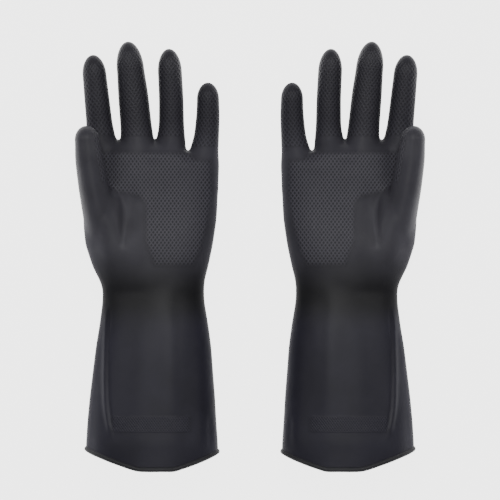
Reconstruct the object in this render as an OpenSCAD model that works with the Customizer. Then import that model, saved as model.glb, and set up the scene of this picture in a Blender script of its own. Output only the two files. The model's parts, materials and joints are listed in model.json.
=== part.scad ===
// A pair of long, black, moulded rubber gloves, lying palm up side by side.
// Each glove is one dipped skin. It is built here as the stretches that stay stiff and the short
// sleeves of the same rubber between them, where the glove bends: wrist, knuckles and finger middles.
// Frame: millimetres, +Z up, +Y towards the fingertips, origin on the table midway between the gloves.

/* [Pair] */
// Length of a glove, from the cuff's lowest point to the middle fingertip
glove_length = 360; // [320:5:400]
// Distance between the two gloves' centre lines
pair_spacing = 168; // [156:1:200]
// Thickness of the rubber
wall = 1.4; // [1.2:0.1:1.6]

/* [Cuff] */
// Width of the cuff at its mouth
cuff_width = 109; // [104:1:114]
// Height of the cuff at its mouth, as it stands open
cuff_height = 60; // [52:1:66]
// How far the palm side of the mouth reaches past its two sides
cuff_overhang = 18; // [12:1:20]
// Radius of the rolled bead round the mouth
bead_radius = 1.9; // [1.6:0.1:2.4]

/* [Wrist and palm] */
// Width of the wrist, the narrowest place
wrist_width = 84; // [80:1:88]
// Height of the wrist
wrist_height = 41; // [38:1:44]
// Width of the palm
palm_width = 110; // [106:1:112]
// Height of the palm at its middle
palm_height = 37; // [34:1:39]
// Height of the palm at the finger roots
palm_end_height = 27; // [26:1:29]

/* [Bending] */
// Most that a knuckle bends towards the palm
knuckle_bend = 60; // [40:1:60]
// Most that the middle of a finger bends
middle_bend = 70; // [40:1:70]
// Most that the wrist bends
wrist_bend = 45; // [30:1:45]
// Most that the thumb swings out
thumb_swing = 40; // [25:1:40]
// Most that the thumb's middle bends
thumb_bend = 50; // [30:1:50]

/* [Hidden] */
DIGITS = ["index", "middle", "ring", "little", "thumb"];
HANDS = ["left", "right"];
DIGIT_PARTS = ["knuckle_flex", "lower", "middle_flex", "tip"];

rubber = [0.16, 0.16, 0.17];
flex_rubber = [0.20, 0.20, 0.21];
bead_rubber = [0.12, 0.12, 0.13];

size = glove_length / 360;      // everything below is laid out on a glove 360 long
seam_gap = 0.3;                 // clear gap between a sleeve and the stretch beside it
bend_room = 0.5;                // spare length at each end of a bending sleeve
finger_points = 20;             // corners of a finger's ring
palm_points = 36;               // corners of a ring round the palm or the cuff
bead_points = 8;                // corners of the bead's own section
overlap = 0.02;                 // how far the cutting solids run past what they cut
mouth_flat = 0.24;              // share of the mouth's width that is its flat middle
mouth_tuck = 0.6;               // how far the back of the mouth draws in, as a share of the overhang

// Each digit of the left glove, as offsets from that glove's centre line:
// [knuckle, middle joint, tip, radius at the knuckle, at the middle joint, before the tip]
index_finger = [[-42.9, 110, 14.5], [-45.5, 136, 16.5], [-47.1, 169, 22], 10.8, 10.1, 9.5];
middle_finger = [[-12.1, 107.5, 15], [-14.7, 136, 17], [-18.0, 180, 25], 13.0, 12.1, 11.2];
ring_finger = [[17.7, 106.5, 14.5], [17.5, 133, 16.5], [15.8, 173.5, 24], 11.0, 10.3, 9.7];
little_finger = [[46.4, 98.5, 14], [47.9, 119.5, 15.5], [48.0, 145.5, 20], 10.6, 9.7, 9.0];
thumb = [[-47.5, 58, 40.3], [-51.2, 82.5, 49], [-54.0, 109.5, 51], 12.6, 10.8, 9.6];
DIGIT_SHAPES = [index_finger, middle_finger, ring_finger, little_finger, thumb];
thumb_start = [-38, 26, 21];    // where the thumb's tube begins, inside the ball of the thumb
thumb_start_radius = 15.5;

wrist_y = -30;                  // the wrist's bend line
bead_clear = 1.08 * bead_radius + 0.2;                  // from the wall's end to the bead's middle
cuff_side_y = cuff_overhang + bead_clear + bead_radius - 180;   // the mouth at the cuff's two sides
palm_end_y = 95;                // where the palm ends between the finger roots

// Rings along the sleeve and the palm: [y, centre's offset, half width, height, lift off the table]
function cuff_station(t) = let (shape = pow(t, 0.85)) [
    cuff_side_y + t * (wrist_y - cuff_side_y),
    1.7 + 0.8 * t,
    cuff_width / 2 + (wrist_width - cuff_width) / 2 * shape,
    cuff_height + (wrist_height - cuff_height) * shape,
    t == 0 ? bead_radius - wall / 2 : 0
];
palm_stations = [
    [wrist_y, 2.5, wrist_width / 2, wrist_height, 0],
    [-14, 0.8, wrist_width / 2 + 4, wrist_height + 0.5, 0],
    [4, -0.2, palm_width / 2 - 4, wrist_height - 0.5, 0],
    [34, -0.4, palm_width / 2 + 0.6, palm_height, 0],
    [62, 1.4, palm_width / 2, (2 * palm_height + palm_end_height) / 3, 0],
    [84, 2.0, palm_width / 2 - 0.5, palm_end_height + 2, 0],
    [palm_end_y, -12.5, palm_width / 2 - 16.5, palm_end_height - 2, 1]    // slants back at the little finger
];
wrist_flex_half = wrist_height / 2 * tan(wrist_bend / 2) + bend_room;

function unit(v) = v / norm(v);
function side_of(d) = unit(cross(d, [0, 0, 1]));
function up_of(d) = cross(side_of(d), d);
function blend(a, b, t) = a + (b - a) * t;
function reversed(list) = [for (i = [len(list) - 1 : -1 : 0]) list[i]];
function power(x, p) = sign(x) * pow(abs(x), p);
function station_at(stations, y, i = 0) = i >= len(stations) - 2 || y <= stations[i + 1][0]
    ? blend(stations[i], stations[i + 1], (y - stations[i][0]) / (stations[i + 1][0] - stations[i][0]))
    : station_at(stations, y, i + 1);

// A round ring of a finger, square to direction d
function round_ring(c, d, r) = [
    for (i = [0 : finger_points - 1]) let (t = 360 * i / finger_points)
        size * (c + r * cos(t) * side_of(d) + r * sin(t) * up_of(d))
];

// An oval ring round the sleeve or palm. Its back lies flat on the table, and inset makes the inner
// side of the wall. lean draws the ring's top out away from the fingers, in a straight slope from each
// side to a flat middle, and draws its back in.
function oval_ring(s, inset = 0, lean = 0) = let (
    belly = 0.42 * s[3],
    low = s[4] + inset
) [
    for (i = [0 : palm_points - 1]) let (
        t = 360 * i / palm_points,
        x = s[1] + (s[2] - inset) * power(cos(t), 2 / 2.35),
        rise = sin(t) > 0 ? (s[3] - belly - inset) * power(sin(t), 2 / 2.1)
                          : (belly + 2 - inset) * power(sin(t), 2 / 2.7),
        slope = min(1, (1 - abs(power(cos(t), 2 / 2.35))) / (1 - mouth_flat))
    ) size * [x, s[0] - lean * slope * (sin(t) > 0 ? 1 : -mouth_tuck), max(low, belly + rise)]
];

function link(n, a, b) = [
    for (i = [0 : n - 1]) let (j = (i + 1) % n) each
        [[a * n + i, a * n + j, b * n + j], [a * n + i, b * n + j, b * n + i]]
];

// A wall between outer and inner rings. Its first end is open, and so is its last, unless capped.
module shell(outer, inner, capped = false) {
    rings = concat(outer, reversed(inner));
    n = len(outer[0]);
    m = len(rings);
    last = len(outer) - 1;
    links = [for (k = [0 : m - 1]) if (!capped || k != last) each link(n, k, (k + 1) % m)];
    caps = capped ? concat(last_cap(n, last), first_cap(n, last + 1)) : [];
    polyhedron(points = [for (ring = rings) each ring], faces = concat(links, caps), convexity = 6);
}

// The caps over the ends of a stack of rings, facing outwards
function first_cap(n, ring = 0) = [[for (i = [n - 1 : -1 : 0]) ring * n + i]];
function last_cap(n, ring) = [[for (i = [0 : n - 1]) ring * n + i]];

// A solid hulled ring by ring
module hull_chain(rings) {
    n = len(rings[0]);
    for (k = [0 : len(rings) - 2]) hull() polyhedron(
        points = concat(rings[k], rings[k + 1]),
        faces = concat(first_cap(n), link(n, 0, 1), last_cap(n, 1))
    );
}

// ---- Digits ----
// A digit is measured along its own middle line: s runs from the knuckle to the middle joint
function knuckle(f) = f[0];
function middle_joint(f) = f[1];
function fingertip(f) = f[2];
function lower_direction(f) = unit(middle_joint(f) - knuckle(f));
function tip_direction(f) = unit(fingertip(f) - middle_joint(f));
function lower_length(f) = norm(middle_joint(f) - knuckle(f));
function lower_radius(f, s) = blend(f[3], f[4], min(1, max(0, s / lower_length(f))));

// Half the length of a bending sleeve: long enough that the stiff stretches beside it don't meet
function knuckle_half(f) = f[3] * tan((f == thumb ? thumb_swing : knuckle_bend) / 2) + bend_room;
function rest_bend(f) = acos(lower_direction(f) * tip_direction(f));
function middle_half(f) =
    f[4] * tan(((f == thumb ? thumb_bend : middle_bend) + rest_bend(f)) / 2) + bend_room;

function lower_ring(f, s, inset) =
    round_ring(knuckle(f) + s * lower_direction(f), lower_direction(f), lower_radius(f, s) - inset);
function lower_rings(f, from, to, inset) = [for (s = [from, to]) lower_ring(f, s, inset)];
function tip_ring(f, s, inset) =
    round_ring(middle_joint(f) + s * tip_direction(f), tip_direction(f), f[4] - inset);
function elbow_rings(f, inset) = [
    lower_ring(f, lower_length(f) - middle_half(f) + seam_gap, inset),
    round_ring(middle_joint(f), unit(lower_direction(f) + tip_direction(f)), f[4] - inset),
    tip_ring(f, middle_half(f) - seam_gap, inset)
];

module knuckle_flex(f) {
    reach = knuckle_half(f) - seam_gap;
    shell(lower_rings(f, -reach, reach, 0), lower_rings(f, -reach, reach, wall));
}

module lower_digit(f) {
    from = knuckle_half(f);
    to = lower_length(f) - middle_half(f);
    shell(lower_rings(f, from, to, 0), lower_rings(f, from, to, wall));
}

module middle_flex(f) {
    shell(elbow_rings(f, 0), elbow_rings(f, wall));
}

// The domed end: rings on a half egg of length dome, ending in a small flat
function dome_rings(f, inset) = let (
    d = tip_direction(f),
    r = f[5] - inset,
    dome = 1.15 * f[5],
    base = fingertip(f) - dome * d
) [for (a = [0, 24, 46, 66, 80]) round_ring(base + (dome - inset) * sin(a) * d, d, r * cos(a))];

module digit_tip(f) {
    from = middle_half(f);
    shell(concat([tip_ring(f, from, 0)], dome_rings(f, 0)),
        concat([tip_ring(f, from, wall)], dome_rings(f, wall)), capped = true);
}

// ---- Sleeve and palm ----
gauntlet_steps = 6;
function gauntlet_station(k) = cuff_station(
    k / gauntlet_steps * (1 - wrist_flex_half / (wrist_y - cuff_side_y))
);
// The lean of the mouth dies away along the sleeve
function sleeve_lean(k) = cuff_overhang * pow(1 - k / gauntlet_steps, 2.2);

module gauntlet() {
    shell([for (k = [0 : gauntlet_steps]) oval_ring(gauntlet_station(k), 0, sleeve_lean(k))],
        [for (k = [0 : gauntlet_steps]) oval_ring(gauntlet_station(k), wall, sleeve_lean(k))]);
}

// The mouth's rolled edge: a round bead carried along the middle of the wall's end
module cuff_bead() {
    path = [for (p = oval_ring(gauntlet_station(0), wall / 2, sleeve_lean(0))) p - size * [0, bead_clear, 0]];
    count = len(path);
    rings = [for (i = [0 : count - 1]) let (
        along = unit(path[(i + 1) % count] - path[(i + count - 1) % count]),
        out = unit(cross(along, [0, 1, 0])),
        other = cross(along, out)
    ) [for (k = [0 : bead_points - 1]) let (a = 360 * (k + 0.5) / bead_points)
        path[i] + size * bead_radius * (cos(a) * out + sin(a) * other)]];
    polyhedron(points = [for (ring = rings) each ring],
        faces = [for (i = [0 : count - 1]) each link(bead_points, (i + 1) % count, i)], convexity = 6);
}

module wrist_flex() {
    from = cuff_station(1 - (wrist_flex_half - seam_gap) / (wrist_y - cuff_side_y));
    waist = palm_stations[0];
    to = station_at(palm_stations, wrist_y + wrist_flex_half - seam_gap);
    shell([for (s = [from, waist, to]) oval_ring(s)], [for (s = [from, waist, to]) oval_ring(s, wall)]);
}

function palm_rings(inset) = concat(
    [oval_ring(station_at(palm_stations, wrist_y + wrist_flex_half - (inset > 0 ? overlap : 0)), inset)],
    [for (k = [2 : len(palm_stations) - 1]) oval_ring(palm_stations[k] - [k == len(palm_stations) - 1 ? inset : 0, 0, 0, 0, 0], inset)]
);

// A finger's root: a short tube from inside the palm to where its bending sleeve starts
module finger_root(f, inset) {
    d = lower_direction(f);
    inside_palm = -knuckle_half(f) - 16;
    end = -knuckle_half(f) + (inset > 0 ? overlap : 0);
    hull_chain([for (s = [inside_palm, end]) round_ring(knuckle(f) + s * d, d, lower_radius(f, s) - inset)]);
}

module thumb_root(inset) {
    d = lower_direction(thumb);
    end = knuckle(thumb) + (-knuckle_half(thumb) + (inset > 0 ? overlap : 0)) * d;
    start_d = unit(knuckle(thumb) - thumb_start);
    hull_chain([
        round_ring(thumb_start - 6 * start_d, start_d, thumb_start_radius - 3 - inset),
        round_ring(thumb_start, start_d, thumb_start_radius - inset),
        round_ring(end - 6 * d, d, thumb[3] + 0.6 - inset),
        round_ring(end, d, thumb[3] - inset)
    ]);
}

module palm_solid(inset) {
    hull_chain(palm_rings(inset));
    for (k = [0 : 3]) finger_root(DIGIT_SHAPES[k], inset);
    thumb_root(inset);
}

module palm() {
    difference() {
        palm_solid(0);
        palm_solid(wall);
    }
}

// ---- The pair ----
module digit_part(f, part) {
    if (part == "knuckle_flex") color(flex_rubber) knuckle_flex(f);
    if (part == "lower") color(rubber) lower_digit(f);
    if (part == "middle_flex") color(flex_rubber) middle_flex(f);
    if (part == "tip") color(rubber) digit_tip(f);
}

module hand_side(hand) {
    if (hand == "left") translate([-pair_spacing / 2, 0, 0]) children();
    else mirror([1, 0, 0]) translate([-pair_spacing / 2, 0, 0]) children();
}

for (hand = HANDS) {
    color(rubber) hand_side(hand) gauntlet();
    color(bead_rubber) hand_side(hand) cuff_bead();
    color(flex_rubber) hand_side(hand) wrist_flex();
    color(rubber) hand_side(hand) palm();
    for (k = [0 : len(DIGITS) - 1]) for (part = DIGIT_PARTS)
        hand_side(hand) digit_part(DIGIT_SHAPES[k], part);
}
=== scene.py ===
# %% [markdown]
# # A pair of long black rubber gauntlet gloves
# Each real glove is one skin of rubber, dipped on a hand-shaped former, with small diamonds moulded
# into the palm and fingers and a rolled edge round the cuff. A dipped skin has no seams, so all of it
# is cut here from one smooth field: a function that is negative inside the hand and positive outside.
# The pieces meet on that field and share its normals, so that the joins can't be seen.

# %% The imported model is the frame for everything
import json
import math

import bmesh
import bpy
import numpy as np
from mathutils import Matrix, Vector


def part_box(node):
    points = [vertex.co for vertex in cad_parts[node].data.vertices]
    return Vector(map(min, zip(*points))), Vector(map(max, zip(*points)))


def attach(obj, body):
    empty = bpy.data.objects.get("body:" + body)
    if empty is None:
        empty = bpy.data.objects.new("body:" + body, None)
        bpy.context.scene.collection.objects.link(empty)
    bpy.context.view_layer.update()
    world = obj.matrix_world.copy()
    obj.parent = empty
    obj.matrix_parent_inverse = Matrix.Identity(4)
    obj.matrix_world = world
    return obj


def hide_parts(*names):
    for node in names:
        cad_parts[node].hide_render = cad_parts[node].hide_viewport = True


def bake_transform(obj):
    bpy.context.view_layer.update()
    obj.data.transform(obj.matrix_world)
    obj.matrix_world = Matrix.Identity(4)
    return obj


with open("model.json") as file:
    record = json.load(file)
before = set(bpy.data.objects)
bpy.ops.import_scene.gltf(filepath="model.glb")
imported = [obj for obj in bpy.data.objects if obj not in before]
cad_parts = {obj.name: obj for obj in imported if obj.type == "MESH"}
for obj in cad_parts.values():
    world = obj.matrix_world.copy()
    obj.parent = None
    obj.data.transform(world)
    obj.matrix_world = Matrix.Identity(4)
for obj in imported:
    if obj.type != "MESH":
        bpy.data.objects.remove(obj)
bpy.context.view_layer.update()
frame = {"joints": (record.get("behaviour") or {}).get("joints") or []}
MM = 0.001
CUFF_SHIFT = 1.7        # the cuff stands this far off the glove's middle line, towards the little finger
DIGITS = ["index", "middle", "ring", "little", "thumb"]
JOINTS = {joint["name"]: joint for joint in frame["joints"]}


def node_box(node):
    """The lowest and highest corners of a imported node, in millimetres."""
    low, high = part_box(node)
    return np.array(low) / MM, np.array(high) / MM


sleeve_low, sleeve_high = node_box("left_gauntlet")
GLOVE_X = (sleeve_low[0] + sleeve_high[0]) / 2 - CUFF_SHIFT
print("left glove's middle line at x =", round(float(GLOVE_X), 1), "mm")

# %% [markdown]
# ## Working in the left glove's own millimetres
# Both gloves are the same shape mirrored, so everything is worked out once for the left glove, in
# millimetres from its own middle line. The right glove is the same numbers with x turned round.

# %% Joint places and smooth tables
TABLE_MARGIN = 60       # how far a smooth table runs on past its first and last places, in mm
BLUR_REACH = 4          # where a blur's bell curve is cut off, over its spread


def joint_place(name):
    """A joint's pivot in the left glove's own millimetres."""
    return np.array(JOINTS[name]["pos_m"]) / MM - np.array([GLOVE_X, 0, 0])


def mirror_of(hand):
    """What a hand's x, y and z are multiplied by."""
    return np.array([-1.0 if hand == "right" else 1.0, 1, 1])


def in_row(points, hand):
    """Points in the left glove's own millimetres, put in the row frame in metres for either hand."""
    return (points + [GLOVE_X, 0, 0]) * mirror_of(hand) * MM


def smooth_table(places, values, spread=4.0):
    """A function through the given values, joined by straight lines and then blurred over spread mm."""
    fine = np.arange(min(places) - TABLE_MARGIN, max(places) + TABLE_MARGIN, 1.0)
    kernel = np.exp(-0.5 * (np.arange(-BLUR_REACH * spread, BLUR_REACH * spread + 1) / spread) ** 2)
    level = np.interp(fine, places, values)
    padded = np.pad(level, len(kernel) // 2, mode="edge")
    blurred = np.convolve(padded, kernel / kernel.sum(), mode="valid")[:len(fine)]
    return lambda y: np.interp(y, fine, blurred)


def smoothstep(low, high, value):
    """0 below low, 1 above high, and an even S between them."""
    t = np.clip((value - low) / (high - low), 0, 1)
    return t * t * (3 - 2 * t)


def smooth_min(a, b, k):
    """The smaller of two fields, with the corner between them rounded over k mm."""
    h = np.clip(0.5 + 0.5 * (b - a) / k, 0, 1)
    return b + (a - b) * h - k * h * (1 - h)


def smooth_max(a, b, k):
    """The larger of two fields, with the corner between them rounded over k mm."""
    return -smooth_min(-a, -b, k)


# %% [markdown]
# ## The sleeve and the palm as a field
# From the cuff's mouth to the finger roots the glove is a tube with oval sections. Three tables along
# its length give each section's middle, half width and height. It lies on the back of the hand, so a
# flat plane cuts the tube off at the table.

# %% The tube's sections
WRIST_Y = joint_place("left_wrist")[1]
MOUTH_HEIGHT = sleeve_high[2]
OVAL = 2.35             # 2 is an ellipse, larger is squarer
BELLY = 0.42            # where the section is widest, as a share of its height
STATIONS = [-180, -158, -138, -118, -98, -77, -57, -38, -26, -19, -10, 0, 10, 20, 30, 45, 60, 76, 100]
MIDDLES = [1.7, 1.6, 1.5, 1.9, 2.3, 2.8, 3.1, 2.6, 2.4, 1.3,
           0.1, -0.5, -0.6, -0.6, -0.3, 0.3, 1.0, 1.3, 1.4]
HALF_WIDTHS = [54.6, 54.4, 53.1, 51.6, 49.6, 47.6, 44.6, 41.8, 41.7, 43.6,
               47.4, 50, 52.2, 53.6, 54.9, 55.3, 54.6, 54.2, 54]
HEIGHTS = [MOUTH_HEIGHT, MOUTH_HEIGHT, 57, 54.5, 52, 49, 46, 42, 40, 40,
           41, 41.5, 41, 40, 38.5, 36, 34, 32, 28]
UNDER_ROOM = 2          # how far below the table the oval reaches, so that the table cuts it flat
middle_of = smooth_table(STATIONS, MIDDLES)
half_width_of = smooth_table(STATIONS, HALF_WIDTHS)
height_of = smooth_table(STATIONS, HEIGHTS)


def tube_field(x, y, z):
    """Distance to the oval tube: how far along the spoke from the section's middle the skin lies.
    With X and Z the share of the way to the skin on each axis, q = (X^n + Z^n)^(1/n) is 1 on the skin,
    and the distance is the spoke's length times 1 - 1/q."""
    across = x - middle_of(y)
    top = height_of(y)
    rise = z - BELLY * top
    reach = np.where(rise > 0, (1 - BELLY) * top, BELLY * top + UNDER_ROOM)
    q = ((np.abs(across) / half_width_of(y)) ** OVAL + (np.abs(rise) / reach) ** OVAL) ** (1 / OVAL)
    return np.hypot(across, rise) * (1 - 1 / np.maximum(q, 1e-3))


# %% [markdown]
# ## Folds, dents and swellings
# A worn or stored glove is never smooth. Each soft swelling or dent is a round bump added to the field,
# and each fold is a narrow valley beside a ridge that follows a line down the sleeve.

# %% Bumps and folds
SWELLINGS = [   # x, y, half size across, half size along, height, on the palm side
    (-17, 37, 9, 19, -4.6),     # valley between the thumb's mount and the palm
    (-3, 12, 9, 18, 1.4),       # the palm's rise beside it
    (-33, 16, 11, 24, 2.4),     # ball of the thumb
    (36, 22, 16, 26, 2.0),      # heel of the palm under the little finger
    (12, 52, 24, 20, -2.4),     # hollow of the palm
    (-27, 85, 10, 6, 1.6),      # pads below the gaps between the fingers
    (3, 85, 10, 6, 1.6),
    (31, 76, 10, 6, 1.5),
    (-18, -30, 15, 7, -1.6),    # dents where the wrist folds
    (-14, -44, 16, 14, -1.4),
    (27, -24, 12, 9, 0.9),
    (26, -44, 12, 12, -0.7),
    (-24, -95, 10, 60, -0.9),   # the sleeve's slack, in long soft waves
    (20, -80, 10, 60, 1.0),
    (36, -90, 7, 55, -0.8),
    (-50, 78, 13, 19, -6.0),    # hollow of the hand beneath the thumb
    (-14.5, 161, 6, 1.6, -0.5), # a small wrinkle near the middle fingertip
    (-15, 164.5, 7, 1.8, 0.4),
]
FOLDS = [       # [(x, y) along the fold], half width, depth, ridge on the thumb side
    ([(-33, -40), (-34, -60), (-34.3, -100), (-33.5, -125), (-31, -140), (-28, -154)], 1.4, 0.4, 1.1),
    ([(-26, 58), (-23, 44), (-22, 30), (-22.5, 4)], 3.4, 2.4, 0.0),
    ([(50, -128), (50.5, -150), (51, -165)], 2.4, 0.5, 0.3),
]
FRONT_FADE = (-4, 8)    # the bumps come in over these heights above the widest place
RIDGE_AWAY = 2.4        # how far the ridge lies from its fold, over the fold's half width
RIDGE_WIDE = 1.6        # how wide the ridge is, over the same


def fold_reach(y, start, end, fade=14.0):
    """1 along the fold, fading out at both ends."""
    return smoothstep(start, start + fade, y) * (1 - smoothstep(end - fade, end, y))


def dents_field(x, y, z):
    """The sum of all the soft bumps, in millimetres outwards, on the palm side of the glove."""
    front = smoothstep(*FRONT_FADE, z - BELLY * height_of(y))
    height = np.zeros_like(x)
    for place_x, place_y, size_x, size_y, tall in SWELLINGS:
        height += tall * np.exp(-((x - place_x) / size_x) ** 2 - ((y - place_y) / size_y) ** 2)
    for line, width, depth, ridge in FOLDS:
        line = sorted(line, key=lambda point: point[1])
        away = x - smooth_table([p[1] for p in line], [p[0] for p in line])(y)
        along = fold_reach(y, line[0][1], line[-1][1])
        height -= depth * along * np.exp(-(away / width) ** 2)
        height += ridge * along * np.exp(-((away + RIDGE_AWAY * width) / (RIDGE_WIDE * width)) ** 2)
    return height * front


# %% [markdown]
# ## The digits as fields
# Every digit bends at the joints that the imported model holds, so its middle line runs through them:
# from inside the palm to the knuckle, on to the middle joint and to the tip. Its distance field is the
# distance to that line less the radius there, and the end is drawn out into an egg-shaped tip.

# %% Middle lines and radii of the digits
TIP_SHAPES = {  # tip's own radius, x and z of its end, egg's length over the radius, reach past the model
    "index": (10.0, -48.6, 22.0, 1.75, 0.3),
    "middle": (11.4, -18.8, 25.0, 2.05, 0.3),
    "ring": (10.1, 15.7, 24.0, 1.95, 0.9),
    "little": (9.3, 49.4, 20.0, 1.55, 0.5),
    "thumb": (9.9, -52.8, 51.0, 1.2, -1.2),
}
SIDE_SHIFT = {"index": 0.0, "middle": 0.2, "ring": 0.1, "little": 0.8, "thumb": 0.5}
FULLER = 0.3            # how much fuller the rubber is than the plain model's straight tubes
ROOTS = {       # x, y, z and radius at the places that the digit passes before its knuckle
    "index": [(-38, 66, 15, 12.5), (-41.5, 94, 14.5, 13.4)],
    "middle": [(-9, 66, 16, 13.5), (-10.9, 94, 15, 14.4)],
    "ring": [(16, 66, 15.5, 12.5), (16.9, 94, 14.5, 13.2)],
    "little": [(42, 60, 14.5, 12.5), (44.7, 85, 14, 12.8)],
    "thumb": [(-37, 14, 19, 16.5)],
}
SLANT_ROOM = 0.6        # how much wider a slanting tube's box is than the tube, each side


def measure_digit(digit):
    """The digit's points (roots, knuckle, middle joint, end of its straight part), a radius at each."""
    knuckle = joint_place(f"left_{digit}_knuckle")
    bend = joint_place(f"left_{digit}_middle")
    tip_radius, tip_x, tip_z, egg, past = TIP_SHAPES[digit]
    tip_y = node_box(f"left_{digit}_tip")[1][1] + past
    share = (tip_y - egg * tip_radius - bend[1]) / (tip_y - bend[1])
    end = bend + share * (np.array([tip_x, tip_y, tip_z]) - bend)
    roots = np.array(ROOTS[digit], float)
    widths = [np.subtract(*node_box(f"left_{digit}_{part}_flex")[::-1])[0] for part in ("knuckle", "middle")]
    radii = [*roots[:, 3], *(width / 2 - SLANT_ROOM + FULLER for width in widths), tip_radius]
    shift = np.array([SIDE_SHIFT[digit], 0, 0])
    return {"points": np.stack([*roots[:, :3], knuckle + shift, bend + shift, end]), "radii": radii,
            "egg": egg * tip_radius, "knuckle": knuckle, "bend": bend, "tip_y": tip_y}


def make_middle_line(shape):
    """Adds smooth functions of y to a digit: its middle line, its direction and its radius. The line
    runs straight on past its last point, so that the egg points the way the finger does."""
    points, radii = shape["points"], shape["radii"]
    points = np.concatenate([points, [3 * points[-1] - 2 * points[-2]]])
    y = points[:, 1]
    line_x = smooth_table(y, points[:, 0], 5)
    line_z = smooth_table(y, points[:, 2], 5)
    radius = smooth_table(y, [*radii, radii[-1]], 5)

    def centre(y):
        return np.stack([line_x(y), y, line_z(y)], -1)

    def direction(y):
        step = centre(y + 1.0) - centre(y - 1.0)
        return step / np.linalg.norm(step, axis=-1, keepdims=True)

    shape.update(centre=centre, direction=direction, radius=radius, start=y[0], end=y[-2])
    return shape


SHAPES = {digit: make_middle_line(measure_digit(digit)) for digit in DIGITS}
for digit, shape in SHAPES.items():
    print(digit, "runs from y =", shape["start"], "to", round(float(shape["tip_y"]), 1), "mm, radii",
          [round(float(r), 1) for r in shape["radii"]])


def digit_field(shape, x, y, z):
    """Distance to a digit: off its middle line less the radius, with the end stretched to an egg.
    The point's nearest place on the line is found in two steps along the line's direction."""
    point = np.stack([x, y, z], -1)
    near = np.clip(y, shape["start"], shape["end"])
    for _ in range(2):
        heading = shape["direction"](near)
        ahead = np.sum((point - shape["centre"](near)) * heading, -1)
        near = np.clip(near + ahead * heading[..., 1], shape["start"], shape["end"])
    heading = shape["direction"](near)
    offset = point - shape["centre"](near)
    ahead = np.sum(offset * heading, -1)
    aside = np.sqrt(np.maximum(np.sum(offset * offset, -1) - ahead * ahead, 0))
    radius = shape["radius"](near)
    squeeze = np.where(ahead > 0, shape["radii"][-1] / shape["egg"], 1.0)
    return np.hypot(aside, ahead * squeeze) - radius


# %% [markdown]
# ## One field for the whole glove
# The tube ends at the gaps between the fingers, which reach further down beside the little finger.
# Each digit is then melted into it over a few millimetres, as the rubber runs into a web, and the
# neighbouring fingers are kept apart by melting each into the palm and not into the next.

# %% The glove's skin
WEB_X = [-60, -30, 6, 20, 32, 44, 60]
WEB_Y = [94, 95, 93.5, 91, 85, 83, 82]
web_line = smooth_table(WEB_X, WEB_Y, 3)
WEB_ROUND = 12.0        # how gently the palm's top runs down to the finger roots
FINGER_MELT = 8.0
THUMB_MELT = (5.0, 1.5, 11.0)       # at the thumb itself, more by the wrist, and more beside the palm
TABLE_LIFT = 2.4        # how far the back of the mouth stands off the table, to make room for the roll
TABLE_MELT = 3.0
THUMB_SIDE = (-48, -34)         # from the thumb's outer side to its palm side, along x
THUMB_ROOT = (42, 72)           # from the thumb's root to where it leaves the palm, along y
LIFTED = (-160, -125)           # the lift dies away between these places, along y
NEXT_MELT = 2.0                 # between one finger's melted root and the next one's


def skin_field(point):
    """The whole left glove without its mouth: negative inside, 0 on the skin, positive outside."""
    x, y, z = point[..., 0], point[..., 1], point[..., 2]
    palm = smooth_max(tube_field(x, y, z) - dents_field(x, y, z), y - web_line(x), WEB_ROUND)
    melt = THUMB_MELT[1] + THUMB_MELT[2] * smoothstep(*THUMB_SIDE, x)
    melt = THUMB_MELT[0] + melt * (1 - smoothstep(*THUMB_ROOT, y))
    whole = smooth_min(palm, digit_field(SHAPES["thumb"], x, y, z), melt)
    for digit in DIGITS[:4]:
        finger = smooth_min(palm, digit_field(SHAPES[digit], x, y, z), FINGER_MELT)
        whole = smooth_min(whole, finger, NEXT_MELT)
    return smooth_max(whole, TABLE_LIFT * (1 - smoothstep(*LIFTED, y)) - z, TABLE_MELT)


SMALL_STEP = 0.05       # the field's slope is its change over this many mm
LEAST_RATE = 0.25       # the slowest that the field is taken to grow along a spoke
LONGEST_MOVE = 3        # the most that a spoke grows or shrinks in one round


def skin_slope(point):
    """The field's gradient, from its change over a small step along each axis."""
    shifts = SMALL_STEP * np.eye(3)
    return np.stack([skin_field(point + s) - skin_field(point - s) for s in shifts], -1) / (2 * SMALL_STEP)


def unit(vector):
    return vector / np.maximum(np.linalg.norm(vector, axis=-1, keepdims=True), 1e-9)


def downhill(point, slope):
    """Points moved along a slope by the field's value over the slope's squared length."""
    return point - slope * (skin_field(point) / np.maximum(np.sum(slope * slope, -1), 1e-6))[..., None]


def settle(point, rounds=3):
    """Moves points down the field's gradient until they lie on the skin."""
    for _ in range(rounds):
        point = downhill(point, skin_slope(point))
    return point


def settle_in_plane(point, centre, normal, rounds=5):
    """The same within a flat cut, which the two pieces that meet there both keep to."""
    for _ in range(rounds):
        point = point - normal * np.sum((point - centre) * normal, -1, keepdims=True)
        slope = skin_slope(point)
        point = downhill(point, slope - normal * np.sum(slope * normal, -1, keepdims=True))
    return point


def settle_spokes(hub, spoke, length, rounds=6):
    """How long each spoke has to be to end on the skin: Newton's method along the spoke."""
    for _ in range(rounds):
        here = skin_field(hub + spoke * length[..., None])
        ahead = skin_field(hub + spoke * (length + SMALL_STEP)[..., None])
        rate = np.maximum((ahead - here) / SMALL_STEP, LEAST_RATE)
        length = length - np.clip(here / rate, -LONGEST_MOVE, LONGEST_MOVE)
    return length


# %% [markdown]
# ## The moulded diamonds
# The grip is a lattice of raised lines: two sets of parallel ridges that cross and leave diamond pits
# between them. One formula draws it everywhere, from two lengths across and along the surface.

# %% Lattice relief
RELIEF = 0.30           # height of the raised lines
LINE_POWER = 4          # the higher, the narrower the lines and the wider the pits


def lattice(across, along, wide, tall):
    """1 on the raised lines and 0 in the pits: the larger of cos^4 of the two slanted line counts."""
    rising = np.cos(np.pi * (across / wide + along / tall)) ** LINE_POWER
    falling = np.cos(np.pi * (across / wide - along / tall)) ** LINE_POWER
    return np.maximum(rising, falling)


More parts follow.
